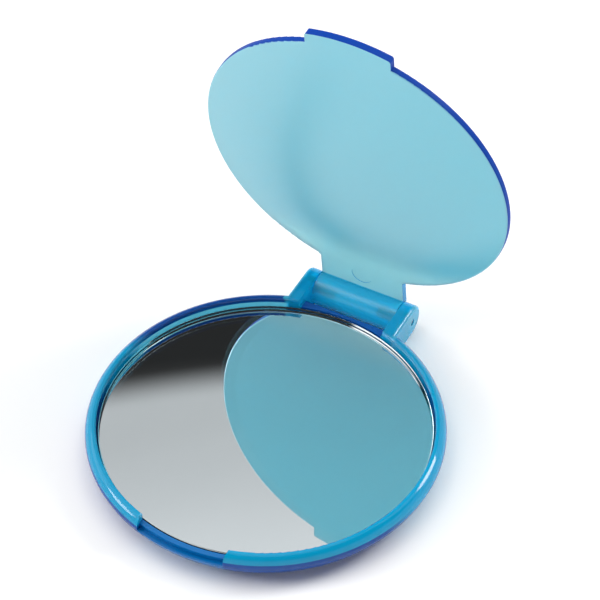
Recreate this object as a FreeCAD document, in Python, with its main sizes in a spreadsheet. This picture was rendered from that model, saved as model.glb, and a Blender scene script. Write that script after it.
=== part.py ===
"""Round pocket mirror: a moulded tray with a glass mirror, and a lid that hinges on two pins.

Frame: millimetres, +Z up, origin at the centre of the flat underside, +Y towards the hinge.
The lid is drawn closed, lying in the rim, where it nests, and then turned open about the hinge axis.
"""

import FreeCAD
import Part
import Sketcher
import os

# Driving sizes: name, value and meaning. Lengths in millimetres, angles in degrees, shares without unit.
SIZES = (
    ("body_radius", 30.0, "tray, widest radius of the rim"),
    ("floor_thickness", 2.0, "tray floor, underside to foam"),
    ("widest_drop", 2.0, "widest line of the rim, below the rim top"),
    ("rim_width", 1.9, "widest radius to the rim's inner wall"),
    ("shoulder_inset", 0.45, "rim shoulder, in from the widest radius"),
    ("shoulder_drop", 0.6, "rim shoulder, below the rim top"),
    ("crown_inset", 1.25, "outer end of the rim's flat crown, in from the widest radius"),
    ("lip_round", 0.3, "rounding of the rim's inner lip"),
    ("belly_inset", 1.25, "middle of the lower wall, in from the widest radius"),
    ("belly_height", 1.5, "middle of the lower wall, above the underside"),
    ("foot_inset", 3.2, "edge of the flat underside, in from the widest radius"),
    ("lid_thickness", 1.3, "lid plate"),
    ("lid_sink", 0.1, "closed lid, below the rim top"),
    ("lid_clearance", 0.45, "lid edge to the rim's inner wall"),
    ("lid_round", 0.3, "rounding of the lid disc's edges"),
    ("lid_gap", 0.1, "closed lid to the mirror and to the ledges"),
    ("glass_thickness", 1.4, "mirror glass"),
    ("glass_clearance", 0.3, "glass edge to the rim's inner wall"),
    ("glass_bevel", 0.12, "ground edge of the glass"),
    ("coat_thickness", 0.1, "silver and paint behind the glass"),
    ("coat_inset", 0.15, "edge of the coat, in from the glass edge"),
    ("foam_thickness", 1.0, "foam tape under the mirror"),
    ("foam_inset", 3.6, "edge of the foam, in from the glass edge"),
    ("barrel_gap", 1.0, "widest line of the rim to the ears' round"),
    ("barrel_half", 7.85, "half length of the lid's barrel, and half width of its neck"),
    ("side_clearance", 0.2, "barrel end to ear"),
    ("slot_wall", 0.6, "rim left between the mirror and the barrel's slot"),
    ("ear_width", 2.4, "each hinge ear"),
    ("ear_round", 0.6, "rounding of the ears' outer edges"),
    ("ear_cover", 0.2, "ear root, outside the rim's inner wall"),
    ("root_share", 0.75, "share of the floor that the ears' root fills"),
    ("pin_radius", 0.6, "hinge pin"),
    ("pin_recess", 0.15, "outer end of the pin, inside the ear's face"),
    ("pin_length", 6.0, "hinge pin"),
    ("pin_bevel", 0.15, "bevel of the pin's ends"),
    ("bore_clearance", 0.05, "pin to the barrel's bore"),
    ("bore_end_gap", 0.2, "inner end of the pin to the bore's end"),
    ("tab_half", 7.55, "half width of the lid's front tab"),
    ("tab_setback", 0.5, "tab edge, in from the widest radius"),
    ("tab_clearance", 0.3, "tab side to notch side"),
    ("tab_round", 0.5, "rounding of the tab's corners"),
    ("notch_round", 0.4, "rounding of the rim's ends at the notch"),
    ("nail_inset", 1.0, "step for the fingernail, in from the widest radius"),
    ("nail_drop", 0.8, "step for the fingernail, below the notch floor"),
    ("neck_round", 0.4, "fillet between the lid's disc and its neck"),
    ("joint_overlap", 3.0, "tab and neck, into the lid's disc"),
    ("mark_radius", 1.9, "round ejector mark inside the neck"),
    ("mark_depth", 0.1, "round ejector mark"),
    ("mark_reach", 5.8, "ejector mark, from the hinge axis"),
    ("cut_overrun", 2.0, "how far a cut runs past the solid"),
    ("open_angle", 82.7, "lid opened from its closed place"),
)

doc = FreeCAD.newDocument("pocket_mirror")
sheet = doc.addObject("Spreadsheet::Sheet", "sizes")
for row, (alias, value, meaning) in enumerate(SIZES, start=1):
    sheet.set(f"A{row}", meaning)
    sheet.set(f"B{row}", str(value))
    sheet.setAlias(f"B{row}", alias)
doc.recompute()

# Lengths that follow from the driving sizes.
RIM_INNER = "(sizes.body_radius - sizes.rim_width)"
FOOT_RADIUS = "(sizes.body_radius - sizes.foot_inset)"
LID_RADIUS = f"({RIM_INNER} - sizes.lid_clearance)"
TAB_RADIUS = "(sizes.body_radius - sizes.tab_setback)"
GLASS_RADIUS = f"({RIM_INNER} - sizes.glass_clearance)"

# Levels from the underside up: floor, foam, coat, glass, gap, lid, rim top.
FLOOR_TOP = "sizes.floor_thickness"
COAT_UNDER = f"({FLOOR_TOP} + sizes.foam_thickness)"
GLASS_UNDER = f"({COAT_UNDER} + sizes.coat_thickness)"
GLASS_TOP = f"({GLASS_UNDER} + sizes.glass_thickness)"
LID_UNDER = f"({GLASS_TOP} + sizes.lid_gap)"
LID_TOP = f"({LID_UNDER} + sizes.lid_thickness)"
RIM_TOP = f"({LID_TOP} + sizes.lid_sink)"

# The hinge: its axis at half height, outside the rim, and the widths along it.
HINGE_HEIGHT = f"({RIM_TOP} / 2)"
HINGE_REACH = f"(sizes.body_radius + sizes.barrel_gap + {HINGE_HEIGHT})"
BARREL_RADIUS = f"({HINGE_HEIGHT} - sizes.lid_sink)"
SLOT_HALF = "(sizes.barrel_half + sizes.side_clearance)"
EAR_OUTER = f"({SLOT_HALF} + sizes.ear_width)"
NOTCH_HALF = "(sizes.tab_half + sizes.tab_clearance)"
NAIL_RADIUS = "(sizes.body_radius - sizes.nail_inset)"
PIN_OUTER = f"({EAR_OUTER} - sizes.pin_recess)"
PIN_INNER = f"({PIN_OUTER} - sizes.pin_length)"
OUTSIDE = "(sizes.body_radius + sizes.cut_overrun)"

# Middle of a quarter round, in from the corner that it rounds, as a share of its radius.
ARC_SHARE = "(1 - sqrt(0.5))"


def amount(expression):
    """The number that an expression of the sheet gives."""
    return float(sheet.evalExpression(expression))


def chord(radius, half):
    """Distance from a circle's centre to its chord of a given half length, as an expression."""
    return f"sqrt({radius} ^ 2 - {half} ^ 2)"


def origin_plane(body, role):
    """The body's own origin plane with this role."""
    return next(feature for feature in body.Origin.OriginFeatures if feature.Role == role)


def new_body(label):
    """An empty body whose label names its node."""
    body = doc.addObject("PartDesign::Body", label)
    body.Label = label
    return body


def new_sketch(body, name, role, lift=None):
    """A sketch on an origin plane of the body, lifted along the plane's normal."""
    sketch = body.newObject("Sketcher::SketchObject", name)
    sketch.AttachmentSupport = [(origin_plane(body, role), "")]
    sketch.MapMode = "FlatFace"
    if lift:
        sketch.setExpression("AttachmentOffset.Base.z", lift)
    return sketch


def hold(sketch, kind, curve, point, expression):
    """Holds a sketch point at a signed distance from the sketch's origin along one axis."""
    value = amount(expression)
    axis = -2 if kind == "DistanceX" else -1
    if expression == "0":
        sketch.addConstraint(Sketcher.Constraint("PointOnObject", curve, point, axis))
        return
    if value > 0:
        index = sketch.addConstraint(Sketcher.Constraint(kind, -1, 1, curve, point, value))
        sketch.setExpression(f"Constraints[{index}]", expression)
    else:
        index = sketch.addConstraint(Sketcher.Constraint(kind, curve, point, -1, 1, -value))
        sketch.setExpression(f"Constraints[{index}]", f"-({expression})")


def spot(place):
    """A sketch point as a vector, from its two expressions."""
    return FreeCAD.Vector(amount(place[0]), amount(place[1]), 0)


def draw_outline(sketch, corners):
    """Draws a closed outline from corners (x, y), or (x, y, through) where the edge that leaves is an arc."""
    curves = []
    for here, after in zip(corners, corners[1:] + corners[:1]):
        if len(here) == 3:
            curve = Part.Arc(spot(here), spot(here[2]), spot(after))
        else:
            curve = Part.LineSegment(spot(here), spot(after))
        curves.append(sketch.addGeometry(curve, False))
    ends = []
    for curve, here in zip(curves, corners):
        first, last = (sketch.getPoint(curve, end).distanceToPoint(spot(here)) for end in (1, 2))
        ends.append((1, 2) if first < last else (2, 1))
    for number, here in enumerate(corners):
        before = number - 1
        sketch.addConstraint(Sketcher.Constraint(
            "Coincident", curves[before], ends[before][1], curves[number], ends[number][0],
        ))
        hold(sketch, "DistanceX", curves[number], ends[number][0], here[0])
        hold(sketch, "DistanceY", curves[number], ends[number][0], here[1])
        if len(here) == 3:
            through = sketch.addGeometry(Part.Point(spot(here[2])), True)
            sketch.addConstraint(Sketcher.Constraint("PointOnObject", through, 1, curves[number]))
            hold(sketch, "DistanceX", through, 1, here[2][0])
            hold(sketch, "DistanceY", through, 1, here[2][1])


def draw_circle(sketch, centre, radius):
    """Draws a circle with its centre and radius held by expressions."""
    up = FreeCAD.Vector(0, 0, 1)
    curve = sketch.addGeometry(Part.Circle(spot(centre), up, amount(radius)), False)
    hold(sketch, "DistanceX", curve, 3, centre[0])
    hold(sketch, "DistanceY", curve, 3, centre[1])
    index = sketch.addConstraint(Sketcher.Constraint("Radius", curve, amount(radius)))
    sketch.setExpression(f"Constraints[{index}]", radius)


def draw_box(sketch, left, right, low, high):
    """Draws a rectangle between four expressions."""
    draw_outline(sketch, [(left, low), (right, low), (right, high), (left, high)])


def volume(body):
    """The body's volume so far."""
    doc.recompute()
    return body.Shape.Volume


def pad(body, name, sketch, length, both_ways=False):
    """Raises a sketch along its plane's normal, or half of the length to each side."""
    feature = body.newObject("PartDesign::Pad", name)
    feature.Profile = sketch
    feature.setExpression("Length", length)
    if both_ways:
        feature.SideType = "Symmetric"
    return feature


def cut(body, name, sketch, length, both_ways=False):
    """Cuts a sketch along its plane's normal, or half of the length to each side, and checks that it cut."""
    full = volume(body)
    feature = body.newObject("PartDesign::Pocket", name)
    feature.Profile = sketch
    feature.setExpression("Length", length)
    if both_ways:
        feature.SideType = "Symmetric"
    else:
        feature.Reversed = True
    if volume(body) >= full:
        raise RuntimeError(f"{name} cuts nothing")
    return feature


def dress(body, kind, name, base, size, choose):
    """Rounds or bevels the edges of a feature that a test chooses."""
    doc.recompute()
    edges = [f"Edge{n}" for n, edge in enumerate(base.Shape.Edges, start=1) if choose(edge)]
    if not edges:
        raise RuntimeError(f"{name} finds no edge")
    feature = body.newObject(f"PartDesign::{kind}", name)
    feature.Base = (base, edges)
    feature.setExpression("Radius" if kind == "Fillet" else "Size", size)
    return feature


def close(first, second):
    """Whether two lengths are the same."""
    return abs(first - second) < amount("sizes.body_radius") * 1e-6


def flat_at(edge, axis, level):
    """Whether an edge lies in the plane at this level of an axis."""
    box = edge.BoundBox
    low, high = {"x": (box.XMin, box.XMax), "y": (box.YMin, box.YMax), "z": (box.ZMin, box.ZMax)}[axis]
    return close(low, level) and close(high, level)


def make_tray():
    """The tray: ears on a hidden root first, then the round tray around it, then its openings."""
    body = new_body("base_tray")
    root_front = chord(FOOT_RADIUS, EAR_OUTER)
    ear_front = chord(f"({RIM_INNER} + sizes.ear_cover)", SLOT_HALF)
    root_height = f"({FLOOR_TOP} * sizes.root_share)"

    # Side view of the ears: a bar with a round end about the hinge axis.
    side = new_sketch(body, "ear_side", "YZ_Plane")
    draw_outline(side, [
        (root_front, "0"),
        (HINGE_REACH, "0", (f"({HINGE_REACH} + {HINGE_HEIGHT})", HINGE_HEIGHT)),
        (HINGE_REACH, RIM_TOP),
        (ear_front, RIM_TOP),
        (ear_front, root_height),
        (root_front, root_height),
    ])
    ears = pad(body, "ears", side, f"2 * {EAR_OUTER}", both_ways=True)
    outer = amount(EAR_OUTER)
    front = amount(ear_front)

    def on_ear_face(edge):
        beyond_root = edge.BoundBox.YMax > front and not close(edge.BoundBox.YMax, front)
        return beyond_root and (flat_at(edge, "x", outer) or flat_at(edge, "x", -outer))

    dress(body, "Fillet", "ear_edges", ears, "sizes.ear_round", on_ear_face)

    # The slot between the ears leaves only their root, which the tray's floor swallows.
    plan = new_sketch(body, "slot_plan", "XY_Plane")
    slot_front = f"({root_front} + {ear_front}) / 2"
    slot_back = f"({HINGE_REACH} + {RIM_TOP})"
    draw_box(plan, f"-{SLOT_HALF}", SLOT_HALF, slot_front, slot_back)
    cut(body, "slot", plan, f"2 * {RIM_TOP} + sizes.cut_overrun", both_ways=True)

    # Half section of the round tray: flat underside, bellied wall, rounded rim, inner wall and floor.
    half = new_sketch(body, "tray_section", "XZ_Plane")
    crown_inner = f"({RIM_INNER} + sizes.lip_round)"
    draw_outline(half, [
        ("0", "0"),
        (
            FOOT_RADIUS, "0",
            ("sizes.body_radius - sizes.belly_inset", "sizes.belly_height"),
        ),
        (
            "sizes.body_radius", f"{RIM_TOP} - sizes.widest_drop",
            ("sizes.body_radius - sizes.shoulder_inset", f"{RIM_TOP} - sizes.shoulder_drop"),
        ),
        ("sizes.body_radius - sizes.crown_inset", RIM_TOP),
        (
            crown_inner, RIM_TOP,
            (
                f"{RIM_INNER} + sizes.lip_round * {ARC_SHARE}",
                f"{RIM_TOP} - sizes.lip_round * {ARC_SHARE}",
            ),
        ),
        (RIM_INNER, f"{RIM_TOP} - sizes.lip_round"),
        (RIM_INNER, FLOOR_TOP),
        ("0", FLOOR_TOP),
    ])
    turn = body.newObject("PartDesign::Revolution", "tray")
    turn.Profile = half
    turn.ReferenceAxis = (half, ["V_Axis"])
    turn.Angle = 360

    # The rim is cut down to the ledge where the lid's neck lies, and in front where its tab lies.
    gate = new_sketch(body, "neck_gate_plan", "XY_Plane", GLASS_TOP)
    draw_box(gate, f"-{SLOT_HALF}", SLOT_HALF, f"{LID_RADIUS} / 2", OUTSIDE)
    cut(body, "neck_gate", gate, RIM_TOP)

    # Behind the ledge a straight slot, down to the floor, leaves room for the barrel.
    room = new_sketch(body, "barrel_room_plan", "XY_Plane", FLOOR_TOP)
    draw_box(room, f"-{SLOT_HALF}", SLOT_HALF, f"({RIM_INNER} + sizes.slot_wall)", OUTSIDE)
    cut(body, "barrel_room", room, RIM_TOP)

    # The notch in front, with rounded ends.
    mouth = new_sketch(body, "notch_front", "XZ_Plane", f"{LID_RADIUS} / 2")
    flare = f"({NOTCH_HALF} + sizes.notch_round)"
    bend = f"({NOTCH_HALF} + sizes.notch_round * {ARC_SHARE})"
    bend_height = f"({RIM_TOP} - sizes.notch_round * {ARC_SHARE})"
    above = f"({RIM_TOP} + sizes.cut_overrun)"
    round_foot = f"({RIM_TOP} - sizes.notch_round)"
    draw_outline(mouth, [
        (f"-{NOTCH_HALF}", GLASS_TOP),
        (NOTCH_HALF, GLASS_TOP),
        (NOTCH_HALF, round_foot, (bend, bend_height)),
        (flare, RIM_TOP),
        (flare, above),
        (f"-{flare}", above),
        (f"-{flare}", RIM_TOP, (f"-{bend}", bend_height)),
        (f"-{NOTCH_HALF}", round_foot),
    ])
    cut(body, "notch", mouth, OUTSIDE)

    # Step for the fingernail, under the edge of the closed lid's tab.
    step = new_sketch(body, "nail_plan", "XY_Plane", f"{GLASS_TOP} - sizes.nail_drop")
    nail_chord = chord(NAIL_RADIUS, NOTCH_HALF)
    draw_outline(step, [
        (f"-{NOTCH_HALF}", f"-{OUTSIDE}"),
        (NOTCH_HALF, f"-{OUTSIDE}"),
        (NOTCH_HALF, f"-{nail_chord}", ("0", f"-{NAIL_RADIUS}")),
        (f"-{NOTCH_HALF}", f"-{nail_chord}"),
    ])
    cut(body, "nail_step", step, "sizes.nail_drop + sizes.cut_overrun")

    # Press holes for the two pins.
    hole = new_sketch(body, "pin_hole_side", "YZ_Plane")
    draw_circle(hole, (HINGE_REACH, HINGE_HEIGHT), "sizes.pin_radius")
    cut(body, "pin_holes", hole, f"2 * {EAR_OUTER} + sizes.cut_overrun", both_ways=True)
    return body


def make_lid():
    """The lid, drawn closed: disc, front tab, neck and hinge barrel in one moulding, then turned open."""
    body = new_body("lid")
    plan = new_sketch(body, "disc_plan", "XY_Plane", LID_UNDER)
    draw_circle(plan, ("0", "0"), LID_RADIUS)
    disc = pad(body, "disc", plan, "sizes.lid_thickness")
    dress(body, "Fillet", "disc_edges", disc, "sizes.lid_round", lambda edge: len(edge.Vertexes) == 1)

    tab_chord = chord(TAB_RADIUS, "sizes.tab_half")
    tab_root = f"({chord(LID_RADIUS, 'sizes.tab_half')} - sizes.joint_overlap)"
    plan = new_sketch(body, "tab_plan", "XY_Plane", LID_UNDER)
    draw_outline(plan, [
        ("-sizes.tab_half", f"-{tab_chord}", ("0", f"-{TAB_RADIUS}")),
        ("sizes.tab_half", f"-{tab_chord}"),
        ("sizes.tab_half", f"-{tab_root}"),
        ("-sizes.tab_half", f"-{tab_root}"),
    ])
    pad(body, "tab", plan, "sizes.lid_thickness")

    # The neck's sides run into the disc in a small fillet.
    flare = "(sizes.barrel_half + sizes.neck_round)"
    flare_foot = chord(LID_RADIUS, flare)
    neck_root = f"({flare_foot} - sizes.joint_overlap)"
    fillet_top = f"({flare_foot} + sizes.neck_round)"
    bend = f"(sizes.barrel_half + sizes.neck_round * {ARC_SHARE})"
    bend_height = f"({flare_foot} + sizes.neck_round * {ARC_SHARE})"
    plan = new_sketch(body, "neck_plan", "XY_Plane", LID_UNDER)
    draw_outline(plan, [
        (f"-{flare}", neck_root),
        (flare, neck_root),
        (flare, flare_foot, (bend, bend_height)),
        ("sizes.barrel_half", fillet_top),
        ("sizes.barrel_half", HINGE_REACH),
        ("-sizes.barrel_half", HINGE_REACH),
        ("-sizes.barrel_half", fillet_top, (f"-{bend}", bend_height)),
        (f"-{flare}", flare_foot),
    ])
    pad(body, "neck", plan, "sizes.lid_thickness")

    side = new_sketch(body, "barrel_side", "YZ_Plane")
    draw_circle(side, (HINGE_REACH, HINGE_HEIGHT), BARREL_RADIUS)
    barrel = pad(body, "barrel", side, "2 * sizes.barrel_half", both_ways=True)

    tab_half = amount("sizes.tab_half")
    tab_side = -amount(tab_chord)

    def on_tab_corner(edge):
        upright = close(edge.BoundBox.XLength, 0) and close(edge.BoundBox.YLength, 0)
        return upright and close(abs(edge.BoundBox.XMin), tab_half) and close(edge.BoundBox.YMin, tab_side)

    dress(body, "Fillet", "tab_corners", barrel, "sizes.tab_round", on_tab_corner)

    # Bores for the pins, blind, one from each end of the barrel.
    hole = new_sketch(body, "bore_side", "YZ_Plane", f"{PIN_INNER} - sizes.bore_end_gap")
    draw_circle(hole, (HINGE_REACH, HINGE_HEIGHT), "sizes.pin_radius + sizes.bore_clearance")
    bore = cut(body, "bore", hole, f"{EAR_OUTER} - {PIN_INNER}")
    both = body.newObject("PartDesign::Mirrored", "bores")
    both.Originals = [bore]
    both.MirrorPlane = (origin_plane(body, "YZ_Plane"), [""])
    body.Tip = both

    # Shallow ejector mark on the inner face of the neck.
    mark = new_sketch(body, "mark_plan", "XY_Plane", LID_UNDER)
    draw_circle(mark, ("0", f"{HINGE_REACH} - sizes.mark_reach"), "sizes.mark_radius")
    cut(body, "ejector_mark", mark, "sizes.mark_depth")

    body.setExpression(
        "Placement",
        "placement(vector(0; 0; 0); rotation(vector(-1; 0; 0); sizes.open_angle);"
        f" vector(0; {HINGE_REACH}; {HINGE_HEIGHT}))",
    )
    return body


def make_disc(label, radius, under, thickness, bevel=None):
    """A flat round layer of the mirror, with both edges bevelled where asked."""
    body = new_body(label)
    plan = new_sketch(body, f"{label}_plan", "XY_Plane", under)
    draw_circle(plan, ("0", "0"), radius)
    layer = pad(body, f"{label}_layer", plan, thickness)
    if bevel:
        dress(body, "Chamfer", f"{label}_edge", layer, bevel, lambda edge: len(edge.Vertexes) == 1)
    return body


def make_pin(label, start):
    """A hinge pin along X from the given place, with bevelled ends."""
    body = new_body(label)
    side = new_sketch(body, f"{label}_side", "YZ_Plane", start)
    draw_circle(side, (HINGE_REACH, HINGE_HEIGHT), "sizes.pin_radius")
    shank = pad(body, f"{label}_shank", side, "sizes.pin_length")
    dress(body, "Chamfer", f"{label}_ends", shank, "sizes.pin_bevel", lambda edge: len(edge.Vertexes) == 1)
    return body


nodes = [
    make_tray(),
    make_lid(),
    make_disc("mirror_glass", GLASS_RADIUS, GLASS_UNDER, "sizes.glass_thickness", "sizes.glass_bevel"),
    make_disc("mirror_backing", f"({GLASS_RADIUS} - sizes.coat_inset)", COAT_UNDER, "sizes.coat_thickness"),
    make_disc("foam_pad", f"({GLASS_RADIUS} - sizes.foam_inset)", FLOOR_TOP, "sizes.foam_thickness"),
    make_pin("hinge_pin_right", PIN_INNER),
    make_pin("hinge_pin_left", f"-{PIN_OUTER}"),
]
doc.recompute()

for item in doc.Objects:
    if {"Invalid", "Error"} & set(item.State):
        raise RuntimeError(f"{item.Label} failed: {item.State}")
for node in nodes:
    if node.Shape.isNull() or not node.Shape.isValid() or len(node.Shape.Solids) != 1:
        raise RuntimeError(f"{node.Label} is no sound solid")

os.makedirs("parts", exist_ok=True)
for node in nodes:
    node.Shape.exportStep(f"parts/{node.Label}.step")
    print(f"{node.Label}: {node.Shape.Volume:.1f} mm3")
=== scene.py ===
"""Looks of a round pocket mirror with a hinged lid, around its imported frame.

Metres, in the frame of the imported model: +Z up, +Y from the front notch towards the hinge.
"""

import logging
import math
from collections.abc import Callable
from dataclasses import dataclass, field
from enum import Enum

import bpy
import numpy as np
from mathutils import Matrix, Vector


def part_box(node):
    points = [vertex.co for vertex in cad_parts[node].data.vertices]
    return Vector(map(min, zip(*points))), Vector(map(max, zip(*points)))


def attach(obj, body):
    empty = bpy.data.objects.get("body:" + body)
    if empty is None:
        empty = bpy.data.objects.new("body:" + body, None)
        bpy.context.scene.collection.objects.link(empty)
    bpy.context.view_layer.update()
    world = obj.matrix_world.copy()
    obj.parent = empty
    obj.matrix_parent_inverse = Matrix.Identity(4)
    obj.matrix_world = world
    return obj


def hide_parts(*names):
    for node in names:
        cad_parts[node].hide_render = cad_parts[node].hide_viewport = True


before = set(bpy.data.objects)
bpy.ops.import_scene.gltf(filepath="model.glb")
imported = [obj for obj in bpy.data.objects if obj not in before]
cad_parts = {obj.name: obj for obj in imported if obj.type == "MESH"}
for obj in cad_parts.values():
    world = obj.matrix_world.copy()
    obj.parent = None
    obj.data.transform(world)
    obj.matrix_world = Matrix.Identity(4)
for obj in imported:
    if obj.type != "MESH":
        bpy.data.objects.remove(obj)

MM = 0.001
SHARP_ANGLE = math.radians(35)
log = logging.getLogger("pocket_mirror")

Tree = bpy.types.NodeTree
Socket = bpy.types.NodeSocket
Triple = tuple[float, float, float]
# Where a soft step begins and where it is full, which may lie below the start
Span = tuple[float, float]


class Body(Enum):
    """Body of the frame that the new pieces ride on."""

    BASE = "base"


class Slot(Enum):
    """Material slots of the new pieces."""

    SILVER = "silver"
    FOAM = "foam"
    STEEL = "steel"


def linear(colour: str) -> tuple[float, float, float, float]:
    """Turns an sRGB hex colour to linear light, by the usual curve with its straight foot.

    Args:
        colour: "#RRGGBB".

    Returns:
        Red, green, blue and an alpha of 1.
    """
    parts = [int(colour[start:start + 2], 16) / 255 for start in (1, 3, 5)]
    light = [part / 12.92 if part <= 0.04045 else ((part + 0.055) / 1.055) ** 2.4 for part in parts]
    return (*light, 1.0)


def add_node(
    tree: Tree,
    kind: str,
    values: dict[str | int, object] | None = None,
    links: dict[str | int, Socket] | None = None,
    **settings: object,
) -> bpy.types.Node:
    """Adds a node with its settings, its input values and the links into it.

    Args:
        tree: node tree that gets the node.
        kind: Blender's type name of the node.
        values: input values by socket name or number.
        links: output sockets to link, by the name or number of the input.
        settings: properties of the node itself.

    Returns:
        The new node.
    """
    node = tree.nodes.new(kind)
    for name, setting in settings.items():
        setattr(node, name, setting)
    for socket, value in (values or {}).items():
        node.inputs[socket].default_value = value
    for socket, source in (links or {}).items():
        tree.links.new(source, node.inputs[socket])
    return node


def blank_tree(data: bpy.types.Material | bpy.types.World) -> Tree:
    """Switches nodes on and empties the tree.

    Args:
        data: finish or surroundings.

    Returns:
        Its empty node tree.
    """
    data.use_nodes = True
    data.node_tree.nodes.clear()
    return data.node_tree


def per_metre(size_mm: float) -> float:
    """Texture scale at which one cell of a pattern has this size in millimetres."""
    return 1 / (size_mm * MM)


def lathe(name: str, profile: np.ndarray, segments: int, place: Matrix) -> bpy.types.Object:
    """Makes a closed solid of revolution.

    The point at turn angle a and profile row (r, h) is (r cos a, r sin a, h), taken through place.
    The first and last rows lie on the axis and become one vertex each.

    Args:
        name: name of the piece.
        profile: rows of radius and height, from the lower pole to the upper one.
        segments: points in each ring.
        place: where the lathe's own axis system goes.

    Returns:
        The new object, at the origin, with its place in its mesh.
    """
    angle = np.linspace(0, 2 * np.pi, segments, endpoint=False)
    rings = profile[1:-1]
    radius, height = (np.repeat(rings[:, column, None], segments, axis=1) for column in (0, 1))
    body = np.stack([radius * np.cos(angle), radius * np.sin(angle), height], axis=-1).reshape(-1, 3)
    poles = np.array([[0, 0, profile[0, 1]], [0, 0, profile[-1, 1]]])
    points = np.vstack([body, poles]) @ np.array(place.to_3x3()).T + np.array(place.translation)

    here = np.arange(segments)
    after = (here + 1) % segments
    lower = np.arange(len(rings) - 1)[:, None] * segments
    upper = lower + segments
    walls = np.stack([lower + here, lower + after, upper + after, upper + here], axis=-1)
    low, high = len(body), len(body) + 1
    top = (len(rings) - 1) * segments
    floor = np.stack([after, here, np.full(segments, low)], axis=-1)
    roof = np.stack([top + here, top + after, np.full(segments, high)], axis=-1)
    faces = [*walls.reshape(-1, 4).tolist(), *floor.tolist(), *roof.tolist()]
    return new_piece(name, points, faces)


def new_piece(name: str, points: np.ndarray, faces: list[list[int]]) -> bpy.types.Object:
    """Puts points and faces into a smooth-shaded mesh object whose hard edges stay sharp.

    Args:
        name: name of the piece.
        points: one row for each vertex, in metres.
        faces: vertex numbers of each face, outward.

    Returns:
        The new object, linked to the scene.
    """
    mesh = bpy.data.meshes.new(name)
    mesh.from_pydata(points.tolist(), [], faces)
    mesh.shade_smooth()
    mesh.set_sharp_from_angle(angle=SHARP_ANGLE)
    piece = bpy.data.objects.new(name, mesh)
    bpy.context.scene.collection.objects.link(piece)
    return piece


def dress(piece: bpy.types.Object, finish: bpy.types.Material) -> None:
    """Gives a piece this finish instead of those that it has."""
    piece.data.materials.clear()
    piece.data.materials.append(finish)


@dataclass(frozen=True)
class Limit:
    """A soft limit of a zone, on a value that the finish works out at each point."""

    source: Socket
    span: Span


@dataclass(frozen=True)
class Zone:
    """A part of a moulding, inside all its limits, with a tint that paints the light and shade falling
    there, and a gloss of its own.
    """

    limits: tuple[Limit, ...]
    tint: str
    roughness: float
    clearness: float
    coat: float = 0.0


def inside(tree: Tree, limits: tuple[Limit, ...]) -> Socket:
    """Masks what lies inside all limits: the product of one smooth step for each.

    Args:
        tree: node tree that gets the nodes.
        limits: one limit or more.

    Returns:
        Output that goes from 0 outside to 1 inside.
    """
    result = None
    for limit in limits:
        start, stop = limit.span
        step = add_node(
            tree, "ShaderNodeMapRange", values={"From Min": start, "From Max": stop},
            links={"Value": limit.source}, interpolation_type="SMOOTHSTEP",
        ).outputs[0]
        if result is not None:
            step = add_node(
                tree, "ShaderNodeMath", links={0: result, 1: step}, operation="MULTIPLY",
            ).outputs[0]
        result = step
    return result


def overlay(
    tree: Tree, base: float | tuple[float, ...], layers: list[tuple[Socket, object]],
) -> Socket:
    """Lays values over a base value, each through its mask.

    Args:
        tree: node tree that gets the nodes.
        base: number or colour under all layers.
        layers: pairs of a mask and the value that it shows.

    Returns:
        Output with the value on top.
    """
    colour = isinstance(base, tuple)
    node = add_node(tree, "ShaderNodeRGB" if colour else "ShaderNodeValue")
    result = node.outputs[0]
    result.default_value = base
    for mask, value in layers:
        result = add_node(
            tree, "ShaderNodeMix", values={"B": value}, links={"A": result, "Factor": mask},
            data_type="RGBA" if colour else "FLOAT",
        ).outputs["Result"]
    return result


def off_axis(
    tree: Tree, place: bpy.types.Node, across: Triple, centre: Triple = (0.0, 0.0, 0.0),
) -> Socket:
    """Adds the distance from an axis that runs along X, Y or Z.

    Args:
        tree: node tree of the finish.
        place: its texture coordinates.
        across: 1 for the two coordinates across the axis and 0 for the one along it.
        centre: a point of the axis.

    Returns:
        The distance in metres.
    """
    beside = add_node(
        tree, "ShaderNodeVectorMath", values={1: centre},
        links={0: place.outputs["Object"]}, operation="SUBTRACT",
    )
    flat = add_node(
        tree, "ShaderNodeVectorMath", values={1: across},
        links={0: beside.outputs[0]}, operation="MULTIPLY",
    )
    length = add_node(tree, "ShaderNodeVectorMath", links={0: flat.outputs[0]}, operation="LENGTH")
    return length.outputs["Value"]


def leaning(tree: Tree, place: bpy.types.Node, lean: Span) -> Socket:
    """Adds the slope of a level face that lies a little out of true.

    Args:
        tree: node tree of the finish.
        place: its texture coordinates.
        lean: degrees by which the face rises along X and along Y.

    Returns:
        The leaning normal.
    """
    slope = tuple(math.tan(math.radians(angle)) for angle in lean)
    rise = add_node(
        tree, "ShaderNodeVectorMath", values={1: (*slope, 0.0)},
        links={0: place.outputs["Object"]}, operation="DOT_PRODUCT",
    )
    tilt = add_node(
        tree, "ShaderNodeBump", values={"Strength": 1.0, "Distance": 1.0},
        links={"Height": rise.outputs["Value"]},
    )
    return tilt.outputs["Normal"]


def close_clear(tree: Tree, skin: bpy.types.Node, depth_tint: str, depth_per_mm: float) -> None:
    """Ends a clear finish with its skin and an inside that absorbs light.

    Args:
        tree: node tree of the finish.
        skin: its shader.
        depth_tint: tint that light takes on its way through.
        depth_per_mm: how strongly it does so.
    """
    depth = add_node(
        tree, "ShaderNodeVolumeAbsorption",
        values={"Color": linear(depth_tint), "Density": depth_per_mm / MM},
    )
    add_node(
        tree, "ShaderNodeOutputMaterial",
        links={"Surface": skin.outputs["BSDF"], "Volume": depth.outputs["Volume"]},
    )


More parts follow.
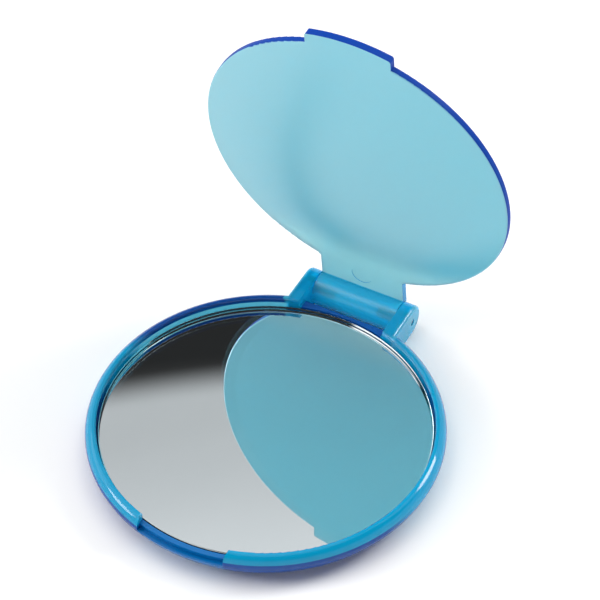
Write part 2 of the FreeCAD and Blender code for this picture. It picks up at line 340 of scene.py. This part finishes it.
@dataclass(frozen=True)
class Polystyrene:
    """Translucent polystyrene, tinted in the mass and injection-moulded in a polished tool.

    The gloss is high with a faint ripple from the tool and soft smears from handling. Faces are pale, and
    edges and thick walls get a painted shade of deep royal blue, for the light that the plastic absorbs on
    its long way through.
    """

    name: str
    face_tint: str
    grazing_shade_tint: str
    clearness: float
    depth_tint: str
    depth_per_mm: float
    roughness: float
    specular: float = 0.3
    grazing: Span = (0.62, 0.95)
    coat: float = 0.0
    coat_roughness: float = 0.03
    coat_ior: float = 1.59
    ior: float = 1.59
    smear_mm: float = 9.0
    smear_range: Span = (0.35, 0.75)
    smear_gloss: Span = (0.97, 1.06)
    ripple_mm: float = 5.0
    ripple_height_mm: float = 0.004

    def make(self, zones: Callable[[Tree, bpy.types.Node], list[Zone]]) -> bpy.types.Material:
        """Builds the material.

        Args:
            zones: adds the nodes that the zones of painted light and shade need and returns the zones.

        Returns:
            A refracting material with an absorbing inside.
        """
        material = bpy.data.materials.new(self.name)
        tree = blank_tree(material)
        place = add_node(tree, "ShaderNodeTexCoord")
        parts = [(inside(tree, zone.limits), zone) for zone in zones(tree, place)]
        values = {
            "IOR": self.ior, "Specular IOR Level": self.specular, "Coat Weight": self.coat,
            "Coat Roughness": self.coat_roughness, "Coat IOR": self.coat_ior,
        }
        links = {
            "Base Color": self.tone(tree, parts),
            "Roughness": self.gloss(tree, place, parts),
            "Transmission Weight": overlay(
                tree, self.clearness, [(mask, zone.clearness) for mask, zone in parts],
            ),
            "Normal": self.relief(tree, place),
        }
        if any(zone.coat != self.coat for mask, zone in parts):
            links["Coat Weight"] = overlay(tree, self.coat, [(mask, zone.coat) for mask, zone in parts])
        skin = add_node(tree, "ShaderNodeBsdfPrincipled", values=values, links=links)
        close_clear(tree, skin, self.depth_tint, self.depth_per_mm)
        return material

    def tone(self, tree: Tree, parts: list[tuple[Socket, Zone]]) -> Socket:
        """Adds the colour: the face's tint, the painted shade at grazing angles, and the painted light and
        shade of the zones.

        Args:
            tree: node tree of the finish.
            parts: masks with their zones.

        Returns:
            The colour.
        """
        # Painted shade: a deeper blue at grazing angles, for light absorbed on the long way through the
        # plastic
        view = add_node(tree, "ShaderNodeLayerWeight")
        rim = inside(tree, (Limit(view.outputs["Facing"], self.grazing),))
        return overlay(
            tree, linear(self.face_tint),
            [(rim, linear(self.grazing_shade_tint)), *((mask, linear(zone.tint)) for mask, zone in parts)],
        )

    def gloss(self, tree: Tree, place: bpy.types.Node, parts: list[tuple[Socket, Zone]]) -> Socket:
        """Adds the roughness, with smears that make it a little uneven.

        Args:
            tree: node tree of the finish.
            place: its texture coordinates.
            parts: masks with their zones.

        Returns:
            The roughness.
        """
        rough = overlay(tree, self.roughness, [(mask, zone.roughness) for mask, zone in parts])
        smear = add_node(
            tree, "ShaderNodeTexNoise",
            values={"Scale": per_metre(self.smear_mm), "Detail": 4.0, "Roughness": 0.6},
            links={"Vector": place.outputs["Object"]},
        )
        (least, most), (glossy, dull) = self.smear_range, self.smear_gloss
        uneven = add_node(
            tree, "ShaderNodeMapRange",
            values={"From Min": least, "From Max": most, "To Min": glossy, "To Max": dull},
            links={"Value": smear.outputs["Fac"]},
        )
        result = add_node(
            tree, "ShaderNodeMath", links={0: rough, 1: uneven.outputs[0]}, operation="MULTIPLY",
        )
        return result.outputs[0]

    def relief(self, tree: Tree, place: bpy.types.Node) -> Socket:
        """Adds the faint ripple of the tool.

        Args:
            tree: node tree of the finish.
            place: its texture coordinates.

        Returns:
            The rippled normal.
        """
        ripple = add_node(
            tree, "ShaderNodeTexNoise", values={"Scale": per_metre(self.ripple_mm), "Detail": 1.0},
            links={"Vector": place.outputs["Object"]},
        )
        bump = add_node(
            tree, "ShaderNodeBump", values={"Strength": 1.0, "Distance": self.ripple_height_mm * MM},
            links={"Height": ripple.outputs["Fac"]},
        )
        return bump.outputs["Normal"]


@dataclass(frozen=True)
class FloatGlass:
    """Soda-lime float glass with a ground edge.

    The faces are flat and clear, and the edge is frosted and faintly green from the iron in the glass.
    """

    name: str
    edge_radius: float
    lean: Span
    edge_blend_mm: float = 0.02
    face_roughness: float = 0.0
    edge_roughness: float = 0.03
    depth_tint: str = "#BFF2DC"
    depth_per_mm: float = 0.02
    ior: float = 1.52

    def make(self) -> bpy.types.Material:
        """Builds the material.

        Returns:
            Clear glass whose roughness steps up at the edge.
        """
        material = bpy.data.materials.new(self.name)
        tree = blank_tree(material)
        place = add_node(tree, "ShaderNodeTexCoord")
        roughness = add_node(
            tree, "ShaderNodeMapRange",
            values={
                "From Min": self.edge_radius - self.edge_blend_mm * MM, "From Max": self.edge_radius,
                "To Min": self.face_roughness, "To Max": self.edge_roughness,
            },
            links={"Value": off_axis(tree, place, (1.0, 1.0, 0.0))},
        )
        skin = add_node(
            tree, "ShaderNodeBsdfPrincipled",
            values={"Base Color": linear("#FFFFFF"), "IOR": self.ior, "Transmission Weight": 1.0},
            links={"Roughness": roughness.outputs[0], "Normal": leaning(tree, place, self.lean)},
        )
        close_clear(tree, skin, self.depth_tint, self.depth_per_mm)
        return material


@dataclass(frozen=True)
class Speckled:
    """An opaque finish with mottled colour, uneven gloss and a fine relief.

    It serves the silver, the foam and the drawn wire, which differ in grain and stretch.
    """

    name: str
    light: str
    dark: str
    metallic: float
    roughness: float
    grain_mm: float
    relief_mm: float
    gloss_spread: float = 0.4
    stretch: Triple = (1.0, 1.0, 1.0)
    lean: Span = (0.0, 0.0)

    def make(self) -> bpy.types.Material:
        """Builds the material.

        Returns:
            An opaque material on Object coordinates.
        """
        material = bpy.data.materials.new(self.name)
        tree = blank_tree(material)
        place = add_node(tree, "ShaderNodeTexCoord")
        drawn = add_node(
            tree, "ShaderNodeMapping", values={"Scale": self.stretch},
            links={"Vector": place.outputs["Object"]},
        )
        grain = add_node(
            tree, "ShaderNodeTexNoise",
            values={"Scale": per_metre(self.grain_mm), "Detail": 3.0, "Roughness": 0.6},
            links={"Vector": drawn.outputs["Vector"]},
        )
        colour = add_node(
            tree, "ShaderNodeMix", values={"A": linear(self.dark), "B": linear(self.light)},
            links={"Factor": grain.outputs["Fac"]}, data_type="RGBA",
        )
        gloss = add_node(
            tree, "ShaderNodeMapRange",
            values={
                "To Min": self.roughness * (1 - self.gloss_spread),
                "To Max": self.roughness * (1 + self.gloss_spread),
            },
            links={"Value": grain.outputs["Fac"]},
        )
        bump = add_node(
            tree, "ShaderNodeBump", values={"Strength": 1.0, "Distance": self.relief_mm * MM},
            links={"Height": grain.outputs["Fac"], "Normal": leaning(tree, place, self.lean)},
        )
        skin = add_node(
            tree, "ShaderNodeBsdfPrincipled", values={"Metallic": self.metallic},
            links={
                "Base Color": colour.outputs["Result"], "Roughness": gloss.outputs[0],
                "Normal": bump.outputs["Normal"],
            },
        )
        add_node(tree, "ShaderNodeOutputMaterial", links={"Surface": skin.outputs["BSDF"]})
        return material


@dataclass
class Tray:
    """The moulded tray with its rim, notch and hinge ears.

    Its spans are the soft limits of the zones of painted light and shade in its finish: along Y, up Z,
    from the middle plane to either side, from the Z axis, or along the way to the rear left, as their
    names say.
    """

    node: str = "base_tray"
    rear_way: Triple = (-0.5, 0.87, 0.0)
    rear: Span = (16.0 * MM, 21.0 * MM)
    inside_crown: Span = (28.7 * MM, 28.5 * MM)
    below_brow: Span = (5.2 * MM, 5.0 * MM)
    above_brow: Span = (5.0 * MM, 5.2 * MM)
    below_widest: Span = (4.8 * MM, 4.6 * MM)
    front: Span = (-2.0 * MM, -12.0 * MM)
    below_ledge: Span = (4.6 * MM, 4.52 * MM)
    before_notch: Span = (-25.8 * MM, -26.0 * MM)
    notch_half: Span = (7.95 * MM, 7.75 * MM)
    seat_along: Span = (24.5 * MM, 25.0 * MM)
    seat_half: Span = (10.2 * MM, 9.8 * MM)
    ear_along: Span = (26.0 * MM, 26.5 * MM)
    ear_inside: Span = (7.6 * MM, 7.7 * MM)
    ear_outside: Span = (10.9 * MM, 10.7 * MM)
    ear_cheek: Span = (9.6 * MM, 10.3 * MM)

    def zones(self, tree: Tree, place: bpy.types.Node) -> list[Zone]:
        """Zones of painted light and shade on the rear wall, low front wall, notch, barrel's seat and
        ears.

        The rear wall is clear and painted paler, as light that shines through it, with a brighter painted
        foot inside and a dark brow of painted shade on top. The low front wall is painted dark, a painted
        shade for the light that goes a long way through it. The notch and the barrel's seat are darkened
        as painted shade, and the ears and their cheeks are lightened as painted light.

        Args:
            tree: node tree of the finish.
            place: its texture coordinates.

        Returns:
            The zones from the first laid to the last.
        """
        split = add_node(tree, "ShaderNodeSeparateXYZ", links={0: place.outputs["Object"]})
        across, along, height = split.outputs
        side = add_node(tree, "ShaderNodeMath", links={0: across}, operation="ABSOLUTE").outputs[0]
        rearward = add_node(
            tree, "ShaderNodeVectorMath", values={1: self.rear_way},
            links={0: place.outputs["Object"]}, operation="DOT_PRODUCT",
        ).outputs["Value"]
        radius = off_axis(tree, place, (1.0, 1.0, 0.0))

        rear_wall_painted_light = (Limit(rearward, self.rear), Limit(height, self.below_brow))
        foot = (*rear_wall_painted_light, Limit(radius, self.inside_crown))
        brow = (Limit(rearward, self.rear), Limit(height, self.above_brow))
        low_front_painted_shade = (Limit(height, self.below_widest), Limit(along, self.front))
        notch = (
            Limit(height, self.below_ledge), Limit(along, self.before_notch), Limit(side, self.notch_half),
        )
        seat = (Limit(along, self.seat_along), Limit(side, self.seat_half))
        ears = (
            Limit(along, self.ear_along), Limit(side, self.ear_inside), Limit(side, self.ear_outside),
        )
        cheeks_painted_light = (*ears, Limit(side, self.ear_cheek))
        return [
            # Painted light: the rear wall is paler, as if lit through from behind
            Zone(rear_wall_painted_light, "#48D0F8", roughness=0.04, clearness=0.6),
            # Painted light: the inner foot of the rear wall is near white, for light shining through the
            # thin wall
            Zone(foot, "#C0F6FF", roughness=0.04, clearness=0.7),
            # Painted shade: the top of the rear wall is a deep blue, for light absorbed on a long path
            Zone(brow, "#1450A4", roughness=0.04, clearness=0.2),
            # Painted shade: the low front wall is dark blue, for light lost on its long way through
            Zone(low_front_painted_shade, "#00489C", roughness=0.25, clearness=0.1),
            # Painted shade: the notch's ledge is a darker blue, as shade in the recess
            Zone(notch, "#0878C4", roughness=0.04, clearness=0.3),
            # Painted shade: the seat under the barrel is a darker blue, as the barrel's shadow
            Zone(seat, "#1464C0", roughness=0.04, clearness=0.3),
            # Painted light: the ears are a brighter cyan than the light reaching them gives
            Zone(ears, "#14CCFF", roughness=0.04, clearness=0.55),
            # Painted light: the ears' outer cheeks are paler still, as lit faces
            Zone(cheeks_painted_light, "#50DCFF", roughness=0.04, clearness=0.5),
        ]

    def dress(self) -> None:
        """Gives the tray its blue plastic."""
        plastic = Polystyrene(
            name="moulded_polystyrene_tray", face_tint="#0AAEE0", grazing_shade_tint="#1450B0", clearness=0.3,
            depth_tint="#00F0FA", depth_per_mm=0.5, roughness=0.04, specular=0.22, grazing=(0.6, 0.9),
        )
        dress(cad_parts[self.node], plastic.make(self.zones))


@dataclass
class Lid:
    """The flat lid with its tab, neck and hinge barrel.

    The spans of the barrel and the neck are distances from the hinge's axis. That of the edges is the
    share of the surface's normal that points across the plate.
    """

    node: str = "lid"
    open_angle: float = 82.7
    hinge: Triple = (0.0, 34.0 * MM, 3.0 * MM)
    barrel: Span = (3.3 * MM, 3.0 * MM)
    neck: Span = (17.0 * MM, 9.0 * MM)
    edge: Span = (0.9, 0.5)

    def zones(self, tree: Tree, place: bpy.types.Node) -> list[Zone]:
        """Zones of painted light and shade: the neck, the edges, which face along the plate, the neck's
        edges and the barrel.

        Args:
            tree: node tree of the finish.
            place: its texture coordinates.

        Returns:
            The zones from the first laid to the last.
        """
        turn = math.radians(self.open_angle)
        facing = add_node(
            tree, "ShaderNodeVectorMath", values={1: (0.0, math.sin(turn), math.cos(turn))},
            links={0: place.outputs["Normal"]}, operation="DOT_PRODUCT",
        )
        share = add_node(
            tree, "ShaderNodeMath", links={0: facing.outputs["Value"]}, operation="ABSOLUTE",
        ).outputs[0]
        away = off_axis(tree, place, (0.0, 1.0, 1.0), self.hinge)

        neck = Limit(away, self.neck)
        edge = Limit(share, self.edge)
        barrel = Limit(away, self.barrel)
        return [
            # Painted light: the neck is lightened towards the hinge, where the barrel and tray shade it
            Zone((neck,), "#CCFCFF", roughness=0.22, clearness=0.5, coat=0.1),
            # Painted shade: the edges are a deep royal blue, for light absorbed along the plate
            Zone((edge,), "#0040A8", roughness=0.45, clearness=0.1),
            # Painted shade, lighter than on the other edges: the neck's edges are a middle blue
            Zone((edge, neck), "#08A0E0", roughness=0.25, clearness=0.3),
            # Painted light: the barrel is a bright cyan, a painted glow of light shining through it
            Zone((barrel,), "#38DAFF", roughness=0.24, clearness=0.55, coat=0.1),
        ]

    def dress(self) -> None:
        """Gives the lid its pale blue plastic."""
        plastic = Polystyrene(
            name="moulded_polystyrene_lid", face_tint="#6CDAEE", grazing_shade_tint="#1C4C9C", clearness=0.3,
            depth_tint="#00F0FA", depth_per_mm=0.5, roughness=0.22, coat=1.0, coat_roughness=0.33,
            coat_ior=2.65, specular=0.05,
        )
        dress(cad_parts[self.node], plastic.make(self.zones))


@dataclass
class Mirror:
    """The glass, its silver coat, and the foam tape that holds it.

    The glass lies about half a degree out of true on its tape. The solids are true, so the lean is in the
    finishes of the glass and the silver.
    """

    glass: str = "mirror_glass"
    coat: str = "mirror_backing"
    foam: str = "foam_pad"
    lean: Span = (0.5, 0.18)
    bond: float = 0.01 * MM
    ground_edge: float = 0.25 * MM
    foam_pinch: float = 0.15 * MM
    foam_rows: int = 9
    segments: int = 192
    silver_piece: bpy.types.Object = field(init=False)
    foam_piece: bpy.types.Object = field(init=False)

    def build(self) -> None:
        """Makes the silver coat and the foam tape, bonded to their neighbours without an air gap.

        The coat is a plain disc. At the share h of its height, the foam's radius is less by the pinch
        times sin(pi h), because the tape is held at its two faces and sinks in between.
        """
        low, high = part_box(self.coat)
        top = high.z + self.bond
        profile = np.array([(0, low.z), (high.x, low.z), (high.x, top), (0, top)])
        self.silver_piece = lathe("silver_coat", profile, self.segments, Matrix.Identity(4))

        low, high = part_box(self.foam)
        bottom = low.z - self.bond
        share = np.linspace(0, 1, self.foam_rows)
        radius = high.x - self.foam_pinch * np.sin(np.pi * share)
        side = np.column_stack([radius, bottom + share * (high.z - bottom)])
        profile = np.vstack([(0, bottom), side, (0, high.z)])
        self.foam_piece = lathe("foam_tape", profile, self.segments, Matrix.Identity(4))

        for piece, node, slot in (
            (self.silver_piece, self.coat, Slot.SILVER), (self.foam_piece, self.foam, Slot.FOAM),
        ):
            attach(piece, Body.BASE.value)
            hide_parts(node)

    def dress(self) -> None:
        """Gives the glass, the silver and the foam their finishes."""
        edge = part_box(self.glass)[1].x - self.ground_edge
        glass = FloatGlass("float_glass_ground_edge", edge, self.lean)
        # Silver deposited from a bath on polished glass: a clear mirror whose tone drifts a little
        silver = Speckled(
            "deposited_silver", light="#EDF3F8", dark="#E7EEF3", metallic=1.0, roughness=0.008,
            grain_mm=14.0, relief_mm=0.0, lean=self.lean,
        )
        # Polyethylene foam cut from the sheet: matt and off-white, pitted by its cells
        foam = Speckled(
            "foam_tape", light="#E9E8E2", dark="#CFCDC4", metallic=0.0, roughness=0.85,
            grain_mm=0.35, relief_mm=0.08,
        )
        dress(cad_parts[self.glass], glass.make())
        dress(self.silver_piece, silver.make())
        dress(self.foam_piece, foam.make())


@dataclass
class HingePins:
    """The two steel pins, pressed into the ears."""

    nodes: tuple[str, ...] = ("hinge_pin_left", "hinge_pin_right")
    bond: float = 0.01 * MM
    bevel: float = 0.15 * MM
    dome_height: float = 0.06 * MM
    dome_rows: int = 5
    segments: int = 48
    pieces: list[bpy.types.Object] = field(default_factory=list)

    def build(self) -> None:
        """Makes each pin a hair thicker than its hole, because it is a press fit with no air gap.

        Each end is a shallow dome, whose depth grows with the square of the radius, and then a bevel. The
        lathe's axis is turned to lie along X.
        """
        for node in self.nodes:
            low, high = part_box(node)
            radius = (high.z - low.z) / 2 + self.bond
            length = high.x - low.x
            share = np.linspace(0, 1, self.dome_rows)
            dome = np.column_stack([share * (radius - self.bevel), self.dome_height * share ** 2])
            end = np.vstack([dome, (radius, self.bevel)])
            other_end = np.column_stack([end[::-1, 0], length - end[::-1, 1]])
            profile = np.vstack([end, (radius, length / 2), other_end])
            start = Matrix.Translation((low.x, (low.y + high.y) / 2, (low.z + high.z) / 2))
            place = start @ Matrix.Rotation(math.pi / 2, 4, "Y")
            piece = lathe(f"{node}_wire", profile, self.segments, place)
            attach(piece, Body.BASE.value)
            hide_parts(node)
            self.pieces.append(piece)

    def dress(self) -> None:
        """Gives the pins their steel."""
        # Steel wire drawn through a die: satin grey with streaks along it, coarser than real so they show
        steel = Speckled(
            "drawn_steel_wire", light="#9A9DA2", dark="#74777C", metallic=1.0, roughness=0.32,
            grain_mm=0.12, relief_mm=0.004, stretch=(0.08, 1.0, 1.0),
        ).make()
        for piece in self.pieces:
            dress(piece, steel)


@dataclass(frozen=True)
class Softbox:
    """A round light of the studio, as seen from the object.

    Azimuth runs from +X towards +Y and elevation from the table up, in degrees. The light is level
    within its reach from the middle, fades out over the fade, and its level is that of white paper at 1.
    """

    name: str
    azimuth: float
    elevation: float
    reach: float
    fade: float
    level: float

    def glow(self, tree: Tree, way: Socket) -> Socket:
        """Adds the light, as a smooth step of the cosine between its middle and a direction.

        Args:
            tree: node tree of the surroundings.
            way: the direction.

        Returns:
            The light's level in that direction.
        """
        turn, tilt = math.radians(self.azimuth), math.radians(self.elevation)
        middle = (math.cos(turn) * math.cos(tilt), math.sin(turn) * math.cos(tilt), math.sin(tilt))
        cosine = add_node(
            tree, "ShaderNodeVectorMath", values={1: middle}, links={0: way}, operation="DOT_PRODUCT",
        )
        step = add_node(
            tree, "ShaderNodeMapRange",
            values={
                "From Min": math.cos(math.radians(self.reach + self.fade)),
                "From Max": math.cos(math.radians(self.reach)), "To Max": self.level,
            },
            links={"Value": cosine.outputs["Value"]}, interpolation_type="SMOOTHSTEP",
        )
        return step.outputs[0]


@dataclass
class Studio:
    """Floor, surroundings, lights and camera."""

    azimuth: float = 27.907
    elevation: float = 45.459
    distance: float = 432.084 * MM
    aim_right: float = 5.647 * MM
    aim_up: float = 23.929 * MM
    lens: float = 155.24
    clip: Span = (0.01, 50.0)
    floor_reach: float = 6.0
    floor_drop: float = 0.05 * MM
    softboxes: tuple[Softbox, ...] = (
        Softbox("room", 0.0, 90.0, 170.0, 8.0, 0.03),
        Softbox("ceiling", 118.0, 80.0, 32.85, 0.8, 0.7),
        Softbox("ceiling_middle", 118.0, 80.0, 28.5, 3.5, 0.25),
        Softbox("overhead", 118.0, 80.0, 20.0, 7.0, 1.25),
        Softbox("left", 190.0, 46.0, 27.0, 5.0, 1.6),
        Softbox("left_lamp", -153.0, 27.0, 8.0, 3.0, 11.0),
        Softbox("right_back", 64.0, 52.0, 18.0, 9.0, 1.2),
        Softbox("right_lamp", 53.0, 34.0, 8.0, 3.0, 16.0),
        Softbox("front_top", -128.0, 63.0, 10.0, 4.0, 1.0),
        Softbox("sweep", 0.0, -90.0, 112.0, 12.0, 1.0),
    )

    def build(self) -> None:
        """Sets up everything around the object."""
        bpy.context.scene.view_settings.view_transform = "Standard"
        self.lay_floor()
        self.paint_surroundings()
        self.place_camera()

    def lay_floor(self) -> None:
        """Lays a wide square floor just under the object, of board painted a matt white."""
        corners = self.floor_reach * np.array([(-1, -1), (1, -1), (1, 1), (-1, 1)])
        points = np.column_stack([corners, np.full(len(corners), -self.floor_drop)])
        floor = new_piece("floor", points, [[0, 1, 2, 3]])
        material = bpy.data.materials.new("white_table")
        tree = blank_tree(material)
        skin = add_node(
            tree, "ShaderNodeBsdfPrincipled",
            values={"Base Color": linear("#FBFBFB"), "Roughness": 0.9, "Specular IOR Level": 0.1},
        )
        add_node(tree, "ShaderNodeOutputMaterial", links={"Surface": skin.outputs["BSDF"]})
        dress(floor, material)

    def paint_surroundings(self) -> None:
        """Makes a dark room with its softboxes and a white sweep behind the table: the sum of them all."""
        world = bpy.data.worlds.new("studio")
        bpy.context.scene.world = world
        tree = blank_tree(world)
        way = add_node(tree, "ShaderNodeTexCoord").outputs["Generated"]
        total = None
        for box in self.softboxes:
            glow = box.glow(tree, way)
            if total is not None:
                glow = add_node(
                    tree, "ShaderNodeMath", links={0: total, 1: glow}, operation="ADD",
                ).outputs[0]
            total = glow
        back = add_node(tree, "ShaderNodeBackground", links={"Strength": total})
        add_node(tree, "ShaderNodeOutputWorld", links={"Surface": back.outputs[0]})

    def place_camera(self) -> None:
        """Puts the camera where the photograph was taken from."""
        turn, tilt = math.radians(self.azimuth), math.radians(self.elevation)
        back = Vector((math.sin(turn) * math.cos(tilt), -math.cos(turn) * math.cos(tilt), math.sin(tilt)))
        right = (-back).cross(Vector((0, 0, 1))).normalized()
        up = right.cross(-back)
        eye = back * self.distance + right * self.aim_right + up * self.aim_up
        data = bpy.data.cameras.new("camera")
        data.lens = self.lens
        data.clip_start, data.clip_end = self.clip
        camera = bpy.data.objects.new("camera", data)
        camera.matrix_world = Matrix.Translation(eye) @ Matrix((right, up, back)).transposed().to_4x4()
        bpy.context.scene.collection.objects.link(camera)
        bpy.context.scene.camera = camera


def main() -> None:
    """Builds and dresses each sub-assembly."""
    logging.basicConfig(level=logging.INFO, format="%(name)s: %(message)s")
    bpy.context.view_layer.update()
    Tray().dress()
    Lid().dress()
    mirror = Mirror()
    mirror.build()
    mirror.dress()
    pins = HingePins()
    pins.build()
    pins.dress()
    Studio().build()


if __name__ == "__main__":
    main()
